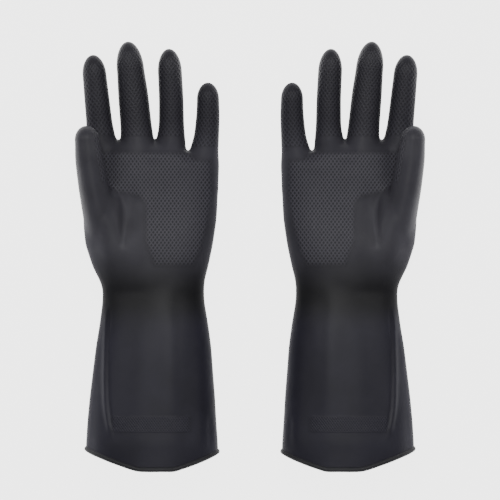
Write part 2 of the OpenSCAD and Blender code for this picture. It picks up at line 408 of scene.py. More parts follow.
def inside_outline(x, y, outline, soft):
    """1 inside a closed outline and 0 outside, with an edge soft mm wide: the signed distance to its
    nearest side, where the sign comes from counting the sides that a ray to the right crosses."""
    nearest = np.full(x.shape, 1e9)
    crossed = np.zeros(x.shape, bool)
    for (x0, y0), (x1, y1) in zip(outline, outline[1:] + outline[:1]):
        t = np.clip(((x - x0) * (x1 - x0) + (y - y0) * (y1 - y0)) / ((x1 - x0) ** 2 + (y1 - y0) ** 2), 0, 1)
        nearest = np.minimum(nearest, np.hypot(x - x0 - t * (x1 - x0), y - y0 - t * (y1 - y0)))
        if y0 != y1:
            crossed ^= ((y0 > y) != (y1 > y)) & (x < x0 + (y - y0) * (x1 - x0) / (y1 - y0))
    return smoothstep(-soft, soft, np.where(crossed, nearest, -nearest))


# %% [markdown]
# ## Meshes from arrays
# A piece is a set of points and the corners of its faces. Both walls of the rubber are modelled: the
# outer one with its relief, and an inner one a rubber's thickness below it, joined by a rim wherever
# the piece ends. Each point carries its own normal where two pieces meet, so the light runs on over
# the join.

# %% Mesh helpers
WALL = 1.4              # the rubber's thickness
FACTS = ["grip", "zone", "inside"]      # relief height, share of grip pattern, 1 on the inner wall


def build_piece(name, hand, points, corners, sizes, normals, facts):
    """A mesh object in the row frame, in metres, from points in the left glove's millimetres.
    corners lists every face's vertices end to end, and sizes says how many each face has.
    The right glove's points are mirrored, and its faces are read backwards to stay outward."""
    place = in_row(points, hand)
    starts = np.concatenate([[0], np.cumsum(sizes)[:-1]])
    if hand == "right":
        face = np.repeat(np.arange(len(sizes)), sizes)
        within = np.arange(len(corners)) - starts[face]
        corners = corners[starts[face] + sizes[face] - 1 - within]
    mesh = bpy.data.meshes.new(name)
    mesh.vertices.add(len(place))
    mesh.vertices.foreach_set("co", place.astype(np.float32).ravel())
    mesh.loops.add(len(corners))
    mesh.loops.foreach_set("vertex_index", corners.astype(np.int32))
    mesh.polygons.add(len(sizes))
    mesh.polygons.foreach_set("loop_start", starts.astype(np.int32))
    mesh.polygons.foreach_set("use_smooth", np.ones(len(sizes), bool))
    mesh.update(calc_edges=True)
    for fact, values in zip(FACTS, facts):
        attribute = mesh.attributes.new(fact, "FLOAT", "POINT")
        attribute.data.foreach_set("value", values.astype(np.float32))
    mesh.normals_split_custom_set_from_vertices((normals * mirror_of(hand)).astype(np.float32))
    piece = bpy.data.objects.new(name, mesh)
    bpy.context.scene.collection.objects.link(piece)
    return piece


def band_faces(first, second):
    """Quads between two closed rows of vertex numbers of the same length."""
    return np.stack([first, second, np.roll(second, -1), np.roll(first, -1)], -1)


def grid_normals(grid):
    """Outward normals of a closed tube's grid, without its first and last rows."""
    around = np.roll(grid, -1, 1) - np.roll(grid, 1, 1)
    ahead = grid[2:] - grid[:-2]
    return unit(np.cross(ahead, around[1:-1]))


def raise_grid(grid, relief, zone):
    """Everything a tube's pieces need, row by row, from a grid with one spare row at each end:
    the skin with its relief, that skin's normals, the plain skin's normals, and the relief itself."""
    plain = grid_normals(grid)
    raised = grid.copy()
    raised[1:-1] += plain * relief[1:-1, :, None]
    return {"outer": raised[1:-1], "normals": grid_normals(raised), "plain": plain,
            "inner": grid[1:-1] - WALL * plain, "grip": relief[1:-1] / RELIEF, "zone": zone[1:-1]}


def tube_piece(name, hand, skin, first, last, pole=None, inner_every=3):
    """The rows first to last of a raised grid as a closed mesh. Without a pole both ends get a rim
    between the walls. With one, its two points (outer and inner) close the last row."""
    outer, normals = skin["outer"][first:last + 1], skin["normals"][first:last + 1]
    rows, columns = outer.shape[:2]
    kept = np.unique(np.append(np.arange(0, rows, inner_every), rows - 1))
    inner, plain = skin["inner"][first:last + 1][kept], skin["plain"][first:last + 1][kept]
    outer_ids = np.arange(rows * columns).reshape(rows, columns)
    inner_ids = rows * columns + np.arange(len(kept) * columns).reshape(len(kept), columns)
    quads = [band_faces(outer_ids[r], outer_ids[r + 1]) for r in range(rows - 1)]
    quads += [band_faces(inner_ids[r + 1], inner_ids[r]) for r in range(len(kept) - 1)]
    quads.append(band_faces(inner_ids[0], outer_ids[0]))
    points = [outer.reshape(-1, 3), inner.reshape(-1, 3)]
    facing = [normals.reshape(-1, 3), -plain.reshape(-1, 3)]
    facts = [[skin[fact][first:last + 1].ravel(), np.zeros(inner_ids.size)] for fact in ("grip", "zone")]
    facts.append([np.zeros(outer_ids.size), np.ones(inner_ids.size)])
    triangles = np.zeros((0, 3), int)
    if pole is None:
        quads.append(band_faces(outer_ids[-1], inner_ids[-1]))
    else:
        heading = unit(pole[0] - pole[1])
        points.append(np.stack(pole))
        facing.append(np.stack([heading, -heading]))
        top = outer_ids.size + inner_ids.size
        outer_fan = np.stack([outer_ids[-1], np.full(columns, top), np.roll(outer_ids[-1], -1)], -1)
        inner_fan = np.stack([inner_ids[-1], np.roll(inner_ids[-1], -1), np.full(columns, top + 1)], -1)
        triangles = np.concatenate([outer_fan, inner_fan])
        for values, ends in zip(facts, ([0, 0], [0, 0], [0, 1])):
            values.append(np.array(ends, float))
    quads = np.concatenate(quads)
    corners = np.concatenate([quads.ravel(), triangles.ravel()])
    sizes = np.concatenate([np.full(len(quads), 4), np.full(len(triangles), 3)])
    facts = [np.concatenate(values) for values in facts]
    return build_piece(name, hand, np.concatenate(points), corners, sizes, np.concatenate(facing), facts)


# %% [markdown]
# ## Cuts and bends
# A piece lies between two flat cuts. For each joint the length of an even turn is worked out, and that
# length is what would keep the inner side of a bent finger from folding into itself. The thumb lies over
# the palm, so its cut leans back:
# a cut square to the hand would still hold the palm's edge.

# %% Where each digit is cut and how far it bends
ROW_GAP = 0.5           # from one row of a digit to the next
BEND_SHARE = 0.8        # length of a bend each way, over the radius times the angle in radians
BEND_MARGIN = 0.1       # the least distance of a turn from the rows at its two cuts
CUT_MARGIN = 0.3        # how far past its cut a knuckle's turn begins
SPLIT_ROOM = 3          # the most that a digit's two pieces part before its middle joint turns
TIP_REACH = 45          # how far past that split the second turn may run
WRIST_REACH = 17.0      # how far each way of its joint the wrist bends
PALM_CUT = -12.5        # where the sleeve ends and the palm begins
CUT_PLACES = {"index": 100.6, "middle": 100.0, "ring": 100.0, "little": 91.2, "thumb": 54.0}
CUT_NORMALS = {digit: np.array([0.0, 1.0, 0.0]) for digit in DIGITS}
CUT_NORMALS["thumb"] = unit(np.array([-0.3, 0.7, 0.65]))


def bend_reach(joint, radius):
    """How far each way of a joint the skin bends: a share of the radius times the largest angle."""
    return BEND_SHARE * radius * math.radians(max(abs(v) for v in JOINTS[joint]["range_deg"]))


for digit, shape in SHAPES.items():
    shape["cut"] = CUT_PLACES[digit]
    shape["cut_normal"] = CUT_NORMALS[digit]
    knuckle_turn = 2 * bend_reach(f"left_{digit}_knuckle", shape["radii"][-3])
    shape["turn_start"] = shape["bend"][1] - bend_reach(f"left_{digit}_middle", shape["radii"][-2])
    shape["turn_end"] = shape["bend"][1] + bend_reach(f"left_{digit}_middle", shape["radii"][-2])
    halfway = (shape["cut"] + knuckle_turn + shape["turn_start"]) / 2
    shape["split"] = max(halfway, shape["turn_start"] - SPLIT_ROOM)
    print(digit, "cut at", shape["cut"], "knuckle turns over", round(knuckle_turn, 1), "mm, split at",
          round(float(shape["split"]), 1), "middle turns from", round(float(shape["turn_start"]), 1))

# %% [markdown]
# ## Digits
# A digit's grid has a row every half millimetre. Each row is a fan of spokes from the middle line out
# to the skin. The first rows lie in the cut's plane and turn gently until they are square to the
# digit. Past the end of the straight part the spokes tip over the egg's end. The rows are then shared
# out between two pieces, one for each joint.

# %% Digit grids
FRONT_COLUMNS = 96      # spokes over the palm side, where the diamonds are
BACK_COLUMNS = 36
GRIP_WIDE, GRIP_TALL = 3.6, 4.6
TIP_SMOOTH = 6.0        # the very end of a finger has no diamonds
# the middle of a digit's diamonds, how far they reach each way round it, and where up it they start
FINGER_GRIP = (math.pi / 2, math.radians(62), 0.3)
THUMB_GRIP = (math.radians(6), math.radians(48), 8.0)       # it faces the fingers
GRIP_FADE = math.radians(7)
DIGIT_RELIEF = 0.85     # height of a digit's lines, over the palm's
# The light and dark that the diamonds show is painted: painted highlight on the lines and painted shade in
# the pits.
DIGIT_ZONE = 0.7        # how much of the palm's light and dark its diamonds show
SQUARE_AFTER = 16       # how far past the cut the rows have turned square to the digit
END_ROOM = 0.2          # the straight rows stop this far short of the egg's first row


def grip_of(digit):
    return THUMB_GRIP if digit == "thumb" else FINGER_GRIP


def spoke_angles(middle):
    """Spoke angles round a digit, close together around the middle one: 90 degrees points up."""
    front = np.linspace(-100, 100, FRONT_COLUMNS, endpoint=False)
    back = np.linspace(100, 260, BACK_COLUMNS, endpoint=False)
    return middle + np.radians(np.concatenate([front, back]))


def digit_grid(shape, angles):
    """The digit's grid (rows, columns, 3) with one spare row before the cut, and the rows' tilt."""
    straight = np.arange(shape["cut"] - ROW_GAP, shape["end"] - END_ROOM, ROW_GAP)
    egg_rows = int(shape["egg"] / ROW_GAP)
    tilt = np.concatenate([np.zeros(len(straight)), np.linspace(0, np.pi / 2, egg_rows + 1)[:-1]])
    places = np.concatenate([straight, np.full(egg_rows, shape["end"])])
    turn = smoothstep(0, SQUARE_AFTER, places - shape["cut"])[:, None]
    heading = unit(shape["cut_normal"] * (1 - turn) + shape["direction"](places) * turn)
    side = unit(np.cross(heading, [0.0, 0.0, 1.0]))
    up = np.cross(side, heading)
    hub = np.repeat(shape["centre"](places)[:, None], len(angles), 1)
    flat = np.cos(angles)[None, :, None] * side[:, None] + np.sin(angles)[None, :, None] * up[:, None]
    spoke = np.cos(tilt)[:, None, None] * flat + np.sin(tilt)[:, None, None] * heading[:, None]
    length = settle_spokes(hub, spoke, np.repeat(shape["radius"](places)[:, None], len(angles), 1))
    return hub + spoke * length[..., None]


def digit_relief(digit, shape, grid, angles):
    """Diamonds on the palm side of a finger, or on the side of the thumb that faces the fingers.
    Across is the turn round the digit times its radius, along is the length walked up the skin."""
    middle, half, start = grip_of(digit)
    turned = (angles - middle + np.pi) % (2 * np.pi) - np.pi
    front = grid[:, np.argmin(np.abs(turned))]
    along = np.concatenate([[0], np.cumsum(np.linalg.norm(np.diff(front, axis=0), axis=-1))])
    ends = smoothstep(start, start + 2, along)
    ends *= 1 - smoothstep(along[-1] - TIP_SMOOTH - 5, along[-1] - TIP_SMOOTH, along)
    sides = 1 - smoothstep(half - GRIP_FADE, half + GRIP_FADE, np.abs(turned))
    zone = ends[:, None] * sides[None, :]
    across = (turned * shape["radii"][-3])[None, :]
    lines = lattice(across, along[:, None], GRIP_WIDE, GRIP_TALL)
    return DIGIT_RELIEF * RELIEF * zone * lines, DIGIT_ZONE * zone


def make_digit_skin(digit, shape):
    """The raised grid of a whole digit, with its pole, and the row at which its two pieces part."""
    angles = spoke_angles(grip_of(digit)[0])
    grid = digit_grid(shape, angles)
    end_direction = shape["direction"](shape["end"])
    hub = shape["centre"](shape["end"])
    reach = settle_spokes(hub, end_direction, np.array(shape["egg"]))
    pole = hub + end_direction * reach
    last = np.repeat(pole[None, None], grid.shape[1], 1)
    relief, zone = digit_relief(digit, shape, grid, angles)
    empty = np.zeros_like(relief[:1])
    skin = raise_grid(*(np.concatenate(rows) for rows in ([grid, last], [relief, empty], [zone, empty])))
    skin["pole"] = (pole, pole - WALL * end_direction)
    skin["split_row"] = int(round((shape["split"] - shape["cut"]) / ROW_GAP))
    return skin


def bend_piece(piece, hand, before, after, start=None, end=None):
    """Works out the turn by which a piece would bend between two bodies and returns its length; the piece's
    place is only baked into its mesh. before and after are its rows at the two cuts: the turn starts past
    every point of the first and ends short of every point of the second. start and end, as places along y,
    shorten it to the stretch round the joint."""
    direction = unit(after.mean(0) - before.mean(0))
    low = (before @ direction).max() + BEND_MARGIN
    high = (after @ direction).min() - BEND_MARGIN
    if start is not None:
        low = max(low, before.mean(0) @ direction + (start - before[:, 1].mean()) / direction[1])
    if end is not None:
        high = min(high, before.mean(0) @ direction + (end - before[:, 1].mean()) / direction[1])
    origin = before.mean(0) - direction * (before.mean(0) @ direction)
    points = [in_row(origin + direction * reach, hand) for reach in (low, high)]
    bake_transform(piece)
    return high - low


def make_digit(hand, digit):
    """Both skins of a digit: the lower one for the knuckle and the upper for the middle joint, with the
    length of each one's turn worked out.
    """
    shape = SHAPES[digit]
    skin = shape["skin"]
    rows, split = len(skin["outer"]), skin["split_row"]
    lower = tube_piece(f"{hand}_{digit}_lower_skin", hand, skin, 0, split)
    upper = tube_piece(f"{hand}_{digit}_tip_skin", hand, skin, split, rows - 1, skin["pole"])
    turn = 2 * bend_reach(f"left_{digit}_knuckle", shape["radii"][-3])
    first = bend_piece(lower, hand, skin["outer"][0], skin["outer"][split],
                       end=shape["cut"] + CUT_MARGIN + turn)
    after = skin["outer"][min(rows - 1, split + int(TIP_REACH / ROW_GAP))]
    second = bend_piece(upper, hand, skin["outer"][split], after,
                        shape["turn_start"], shape["turn_end"])
    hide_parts(f"{hand}_{digit}_knuckle_flex", f"{hand}_{digit}_lower")
    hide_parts(f"{hand}_{digit}_middle_flex", f"{hand}_{digit}_tip")
    for piece in (lower, upper):
        piece.data.materials.append(GRIP_RUBBER)
    print(hand, digit, "faces", len(lower.data.polygons), len(upper.data.polygons), "turns",
          round(float(first), 1), round(float(second), 1))


# %% [markdown]
# ## The palm
# Where five digits and the sleeve run together no single grid fits. The palm's skin is drawn out of the
# field cell by cell instead: every small cell that the skin passes through gets one point, and every
# cell edge that it crosses gets a face between the four cells round it. The points are then evened out
# and settled on the skin.

# %% Surface from cells
CELL = 1.35             # one cell's side
PALM_LOW, PALM_HIGH = np.array([-66.0, -15.6, -3.0]), np.array([66.0, 106.0, 60.0])
TUBE_END = 90           # past this place the palm's own skin counts for less than a digit's
TUBE_LOSS = 2
EVEN_ROUNDS = 6         # how often the points are evened out, and how far each time
EVEN_SHARE = 0.6
RIM_SHARE = 0.5


def cell_surface(low, high, cell):
    """Points and quads of the skin in a box. A cell's point is the mean of the crossings on its edges."""
    axes = [np.arange(low[k], high[k] + cell / 2, cell) for k in range(3)]
    value = skin_field(np.stack(np.meshgrid(*axes, indexing="ij"), -1))
    shape = np.array(value.shape) - 1
    total, count = np.zeros((*shape, 3)), np.zeros(shape)
    quads, crossings = [], []
    for axis in range(3):
        near, far = (np.take(value, range(n, shape[axis] + n), axis) for n in (0, 1))
        crossed = (near < 0) != (far < 0)
        crossings.append((near, crossed))
        part = np.where(crossed, near / np.where(crossed, near - far, 1), 0)
        across, upward = (axis + 1) % 3, (axis + 2) % 3
        for i in (0, 1):
            for k in (0, 1):
                cut = [slice(None)] * 3
                cut[across], cut[upward] = slice(i, shape[across] + i), slice(k, shape[upward] + k)
                hit = crossed[tuple(cut)]
                spot = np.zeros((*shape, 3))
                spot[..., axis], spot[..., across], spot[..., upward] = part[tuple(cut)], i, k
                total += spot * hit[..., None]
                count += hit
    used = count > 0
    number = np.full(shape, -1)
    number[used] = np.arange(used.sum())
    points = low + cell * (np.argwhere(used) + total[used] / count[used][:, None])
    for axis, (near, crossed) in enumerate(crossings):
        across, upward = (axis + 1) % 3, (axis + 2) % 3
        edges = np.argwhere(crossed)
        edges = edges[(edges[:, across] > 0) & (edges[:, across] < shape[across])
                      & (edges[:, upward] > 0) & (edges[:, upward] < shape[upward])]
        step_a, step_u = np.eye(3, dtype=int)[across], np.eye(3, dtype=int)[upward]
        ring = [edges - step_a - step_u, edges - step_u, edges, edges - step_a]
        quad = np.stack([number[tuple(cells.T)] for cells in ring], -1)
        quads.append(np.where((near[tuple(edges.T)] < 0)[:, None], quad, quad[:, ::-1]))
    return points, np.concatenate(quads)


def past_cuts(points):
    """The number of the cut that each point lies past (0 the wrist, then the digits), or -1.
    Past a digit's plane the nearest digit's field tells whose skin a point is on."""
    x, y, z = points.T
    fields = np.array([digit_field(SHAPES[digit], x, y, z) for digit in DIGITS])
    on_thumb = fields[4] < np.minimum(fields[:4].min(0), tube_field(x, y, z) + TUBE_LOSS * (y > TUBE_END))
    nearest = np.where(on_thumb, 4, fields[:4].argmin(0))
    past = np.where(y < PALM_CUT, 0, -1)
    for n, digit in enumerate(DIGITS):
        shape = SHAPES[digit]
        ahead = (points - shape["centre"](shape["cut"])) @ shape["cut_normal"] > 0
        past[ahead & (nearest == n)] = n + 1
    return past


def neighbour_mean(points, edges):
    """Each point's neighbours along the edges, averaged."""
    a, b = edges.T
    total = np.stack([np.bincount(a, points[b, k], len(points)) + np.bincount(b, points[a, k], len(points))
                      for k in range(3)], -1)
    count = np.bincount(a, minlength=len(points)) + np.bincount(b, minlength=len(points))
    return total / np.maximum(count, 1)[:, None]


def face_edges(quads):
    return np.stack([quads.ravel(), np.roll(quads, -1, 1).ravel()], -1)


def open_edges(edges):
    """The edges that only one face has, each as (from, to) in that face's order."""
    _, back, count = np.unique(np.sort(edges, 1), axis=0, return_inverse=True, return_counts=True)
    return edges[count[back.ravel()] == 1]


def palm_surface():
    """The palm's skin, cut off flat at the wrist and at each digit. Points on a cut stay in its plane."""
    points, quads = cell_surface(PALM_LOW, PALM_HIGH, CELL)
    past = past_cuts(points)
    gone = (past[quads] >= 0).any(1)
    cut_of = np.full(len(points), -1)
    cut_of[quads[gone]] = past[quads[gone]].max(1)[:, None]
    cut_of[past >= 0] = -1
    quads = quads[~gone]
    used, back = np.unique(quads, return_inverse=True)
    points, quads, cut_of = points[used], back.reshape(-1, 4), cut_of[used]
    edges = face_edges(quads)
    rim = open_edges(edges)
    on_rim = np.zeros(len(points), bool)
    on_rim[rim] = True
    planes = [(np.array([0, PALM_CUT, 0]), np.array([0.0, 1.0, 0.0]))]
    planes += [(shape["centre"](shape["cut"]), shape["cut_normal"]) for shape in SHAPES.values()]
    print("palm: open points", on_rim.sum(), "without a cut", (on_rim & (cut_of < 0)).sum())
    for _ in range(EVEN_ROUNDS):
        pull = neighbour_mean(points, edges) - points
        normal = unit(skin_slope(points))
        pull -= normal * np.sum(pull * normal, -1, keepdims=True)
        inside = ~on_rim
        moved = points + EVEN_SHARE * pull
        points[inside] = settle(moved[inside], 1)
        slid = points + RIM_SHARE * (neighbour_mean(points, rim) - points)
        for n, (centre, plane_normal) in enumerate(planes):
            on_cut = on_rim & (cut_of == n)
            points[on_cut] = settle_in_plane(slid[on_cut], centre, plane_normal, 3)
    points[inside] = settle(points[inside], 2)
    return points, quads, on_rim


# %% [markdown]
# The diamonds need points less than half a millimetre apart, so only the faces under the grip are cut
# into three by three. The new points are settled on the skin again before the relief raises them.

# %% Relief on the palm
PALM_WIDE, PALM_TALL = 3.2, 4.4
PALM_SOFT = 3.5         # how gently the grip ends at its outline
PALM_UPPER = (2, 5)     # the grip comes in over these heights above the widest place
PALM_GRIP = [(-42, 87), (30, 87), (40, 81), (51, 80), (52, 52), (48, 26), (42, 4), (36, -8), (4, -8),
             (-3, 12), (-4, 44), (-10, 50), (-28, 54), (-42, 62)]


def palm_zone(points):
    """1 where the palm carries diamonds: inside the grip's outline and on the upper side."""
    x, y, z = points.T
    upper = smoothstep(*PALM_UPPER, z - BELLY * height_of(y))
    return inside_outline(x, y, PALM_GRIP, PALM_SOFT) * upper


def split_faces(points, quads, chosen):
    """Cuts the chosen quads three by three. Returns the points, every face's corners end to end, and
    the number of corners in each."""
    mesh = bmesh.new()
    corners = [mesh.verts.new(p) for p in points]
    faces = [mesh.faces.new([corners[n] for n in quad]) for quad in quads]
    edges = list({edge for face, pick in zip(faces, chosen) if pick for edge in face.edges})
    bmesh.ops.subdivide_edges(mesh, edges=edges, cuts=2, use_grid_fill=True)
    mesh.verts.index_update()
    new_points = np.array([v.co for v in mesh.verts])
    face_corners = [[v.index for v in face.verts] for face in mesh.faces]
    mesh.free()
    sizes = np.array([len(face) for face in face_corners])
    return new_points, np.concatenate(face_corners), sizes


def make_palm_skin():
    """The palm's two walls and rims as arrays, ready for either hand."""
    base, quads, on_rim = palm_surface()
    chosen = (palm_zone(base)[quads] > 0.01).all(1)
    points, corners, sizes = split_faces(base, quads, chosen)
    fresh = np.arange(len(points)) >= len(base)
    points[:len(base)] = base
    points[fresh] = settle(points[fresh], 3)
    zone = palm_zone(points)
    plain = unit(skin_slope(points))
    relief = RELIEF * zone * lattice(points[:, 0], points[:, 1], PALM_WIDE, PALM_TALL)
    outer = points + plain * relief[:, None]
    base_plain = plain[:len(base)]
    inner = base - WALL * base_plain
    rim = open_edges(face_edges(quads))
    shift = len(outer)
    rim_quads = np.stack([rim[:, 1], rim[:, 0], rim[:, 0] + shift, rim[:, 1] + shift], -1)
    corners = np.concatenate([corners, (quads[:, ::-1] + shift).ravel(), rim_quads.ravel()])
    sizes = np.concatenate([sizes, np.full(len(quads) + len(rim_quads), 4)])
    normals = np.zeros((len(outer) + len(inner), 3))
    normals[:len(base)][on_rim] = base_plain[on_rim]
    normals[shift:][on_rim] = -base_plain[on_rim]
    outer_none, inner_none = np.zeros(len(outer)), np.zeros(len(inner))
    facts = [np.concatenate(pair) for pair in ([relief / RELIEF, inner_none], [zone, inner_none],
                                               [outer_none, inner_none + 1])]
    return np.concatenate([outer, inner]), corners, sizes, normals, facts


def make_palm(hand):
    palm = build_piece(f"{hand}_palm_skin", hand, *PALM_SKIN)
    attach(palm, f"{hand}_hand")
    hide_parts(f"{hand}_palm")
    palm.data.materials.append(GRIP_RUBBER)
    print(palm.name, "faces", len(palm.data.polygons))


# %% [markdown]
# ## The sleeve and its rolled edge
# The sleeve is one grid from the mouth to the heel of the palm. Its columns stand close together where
# the hatched band crosses them. The mouth isn't square: its palm side reaches out past its back.

# %% Sleeve grid
MOUTH_SIDE_Y = -160.2   # where the mouth lies at its sides
MOUTH_LEAN = 15.8       # how much further down its flat middle lies
MOUTH_FLAT = 0.25       # how wide that is, as a share of the half width
MOUTH_DROP = 2.4        # how much further down the mouth's corner on the little finger's side lies
MOUTH_SHIFT = 0.11      # the flat middle stands a little towards the little finger
MOUTH_TUCK = 0.6        # how far the back draws in, over the lean
MOUTH_SOFT = 0.06       # how round the corners of the flat middle are
MOUTH_CURVE = 1.15      # 1 is a straight slope from them to the sides
MOUTH_FADE = 60         # the mouth's shape has died away this far up the sleeve
SLEEVE_END = -176.0
BAND_LOW, BAND_HIGH = -146.5, -133.5
BAND_LEFT, BAND_RIGHT = -31.5, 34.0
BAND_WIDE, BAND_TALL = 2.2, 2.9
BAND_RELIEF = 0.28
BAND_GAP = 0.5          # between the rows and the columns of the band
BAND_ROOM = 2           # how far the close rows run on past it
COARSE_GAP = 1.4        # between the rows from the mouth to the band
UPPER_ROWS = 92
BACK_SPOKES = 110
BEAD_RADIUS = 2.15
BEAD_SIDES = 16
BEAD_OVERLAP = 0.6      # how deep the sleeve's edge stands in the roll
BEAD_LUMPS = (0.02, 9)  # how much thicker a lump is, and how many there are


def tube_hub(y):
    return np.stack([middle_of(y), y, BELLY * height_of(y)], -1)


def tube_angles():
    """Spoke angles round the sleeve: evenly spaced over the hatched band, then wider apart."""
    y = (BAND_LOW + BAND_HIGH) / 2
    x = np.arange(BAND_LEFT - 17, BAND_RIGHT + 3, BAND_GAP)[::-1]
    share = np.clip(np.abs(x - middle_of(y)) / half_width_of(y), 0, 1)
    z = (1 - BELLY) * height_of(y) * (1 - share ** OVAL) ** (1 / OVAL)
    band = np.arctan2(z, x - middle_of(y))
    rest = np.linspace(band[-1], band[0] + 2 * np.pi, BACK_SPOKES)[1:-1]
    return np.concatenate([band, rest])


def mouth_y(angles):
    """How far out each spoke's mouth lies: level across the flat middle, sloping back to the sides.
    The spoke's share of the way across is its cosine over the oval's own rule of n-th powers."""
    wide, tall = half_width_of(MOUTH_SIDE_Y), (1 - BELLY) * height_of(MOUTH_SIDE_Y)
    across, rise = np.cos(angles) / wide, np.sin(angles) / tall
    share = across / (np.abs(across) ** OVAL + np.abs(rise) ** OVAL) ** (1 / OVAL)
    side = MOUTH_SIDE_Y - MOUTH_DROP * smoothstep(0.3, 1, share)
    share = np.abs(share - MOUTH_SHIFT) / (1 - MOUTH_SHIFT * np.sign(share - MOUTH_SHIFT))
    slope = 1 - smooth_max(share - MOUTH_FLAT, np.zeros_like(share), MOUTH_SOFT) / (1 - MOUTH_FLAT)
    slope = 1 - (1 - np.clip(slope, 0, 1)) ** MOUTH_CURVE
    return side - MOUTH_LEAN * slope * np.where(np.sin(angles) > 0, 1, -MOUTH_TUCK)


def sleeve_places(angles):
    """Each point's y, rows by columns. Rows crowd together in the hatched band, and the mouth's shape
    dies away before them."""
    coarse = np.arange(SLEEVE_END, BAND_LOW - BAND_ROOM, COARSE_GAP)
    band = np.arange(BAND_LOW - BAND_ROOM, BAND_HIGH + BAND_ROOM, BAND_GAP)
    upper = np.linspace(BAND_HIGH + BAND_ROOM, PALM_CUT, UPPER_ROWS)
    flat = np.concatenate([coarse, band, upper, [PALM_CUT + 1.2]])
    lean = mouth_y(angles)[None, :] - flat[0]
    fade = 1 - smoothstep(flat[0], flat[0] + MOUTH_FADE, flat)[:, None]
    fade[0] = 1
    return flat[:, None] + np.where(lean > 0, lean * fade, lean)


def sleeve_grid(angles):
    """The sleeve's grid with a spare row at each end."""
    y = sleeve_places(angles)
    y = np.concatenate([2 * y[:1] - y[1:2], y])
    hub = tube_hub(y)
    spoke = np.stack([np.cos(angles), np.zeros_like(angles), np.sin(angles)], -1)
    spoke = np.repeat(spoke[None], len(y), 0)
    length = settle_spokes(hub, spoke, np.full(y.shape, 40.0), 14)
    return hub + spoke * length[..., None]


def band_relief(grid):
    """The hatched band's relief: the same crossed lines, finer and lower than the palm's."""
    x, y, z = np.moveaxis(grid, -1, 0)
    zone = smoothstep(BAND_LOW - 0.5, BAND_LOW + 0.5, y)
    zone *= 1 - smoothstep(BAND_HIGH - 0.5, BAND_HIGH + 0.5, y)
    zone *= smoothstep(BAND_LEFT - 2, BAND_LEFT + 2, x) * (1 - smoothstep(BAND_RIGHT - 3, BAND_RIGHT + 3, x))
    zone *= z > BELLY * height_of(y)
    return BAND_RELIEF * zone * lattice(x, y, BAND_WIDE, BAND_TALL), zone


def make_bead(hand):
    """The rolled edge: a ring of round sections carried along the mouth, its outer side standing proud
    of the sleeve."""
    path = SLEEVE_GRID[1] - 0.5 * WALL * SLEEVE_SKIN["plain"][0]
    path = (path - [0, BEAD_RADIUS - BEAD_OVERLAP, 0])[::2]
    ahead = unit(np.roll(path, -1, 0) - np.roll(path, 1, 0))
    outward = SLEEVE_SKIN["plain"][0][::2]
    outward = unit(outward - ahead * np.sum(outward * ahead, -1, keepdims=True))
    third = np.cross(ahead, outward)
    turn = np.linspace(0, 2 * np.pi, BEAD_SIDES, endpoint=False)
    around = np.linspace(0, 2 * np.pi, len(path), endpoint=False)
    lumps = 1 + BEAD_LUMPS[0] * np.sin(around * BEAD_LUMPS[1])
    ring = outward[:, None] * np.cos(turn)[None, :, None] + third[:, None] * np.sin(turn)[None, :, None]
    points = path[:, None] + ring * (BEAD_RADIUS * lumps)[:, None, None]
    ids = np.arange(points[..., 0].size).reshape(points.shape[:2])
    following = np.roll(ids, -1, 0)
    quads = np.stack([ids, np.roll(ids, -1, 1), np.roll(following, -1, 1), following], -1).reshape(-1, 4)
    none = np.zeros(ids.size)
    bead = build_piece(f"{hand}_cuff_roll", hand, points.reshape(-1, 3), quads.ravel(),
                       np.full(len(quads), 4), ring.reshape(-1, 3), [none, none, none])
    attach(bead, f"{hand}_sleeve")
    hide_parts(f"{hand}_cuff_bead")
    bead.data.materials.append(BEAD_RUBBER)


def make_sleeve(hand):
    """The sleeve and the wrist in one piece, reaching across the wrist."""
    rows = len(SLEEVE_SKIN["outer"])
    sleeve = tube_piece(f"{hand}_sleeve_skin", hand, SLEEVE_SKIN, 0, rows - 1)
    wrist = np.array([middle_of(WRIST_Y), WRIST_Y, BELLY * height_of(WRIST_Y)])
    places = [in_row(wrist + [0, reach, 0], hand) for reach in (-WRIST_REACH, WRIST_REACH)]
    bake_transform(sleeve)
    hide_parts(f"{hand}_gauntlet", f"{hand}_wrist_flex")
    sleeve.data.materials.append(SLEEVE_RUBBER)
    print(sleeve.name, "faces", len(sleeve.data.polygons))


# %% [markdown]
# ## Black rubber
# All of it is one black rubber with a soft sheen. Small values are worked out in a chain of nodes, so a
# little class stands for one output socket: adding or multiplying two of them makes the Math node.

# %% Node helpers
class Value:
    """One number in a material's nodes. Arithmetic on it adds Math nodes."""

    def __init__(self, maker, socket):
        self.maker, self.socket = maker, socket

    def math(self, operation, first, second):
        node = self.maker.node("ShaderNodeMath", {0: first, 1: second}, operation=operation)
        return Value(self.maker, node.outputs[0])

    def __add__(self, other):
        return self.math("ADD", self, other)

    def __sub__(self, other):
        return self.math("SUBTRACT", self, other)

    def __mul__(self, other):
        return self.math("MULTIPLY", self, other)

    def __rsub__(self, other):
        return self.math("SUBTRACT", other, self)

    __radd__ = __add__
    __rmul__ = __mul__


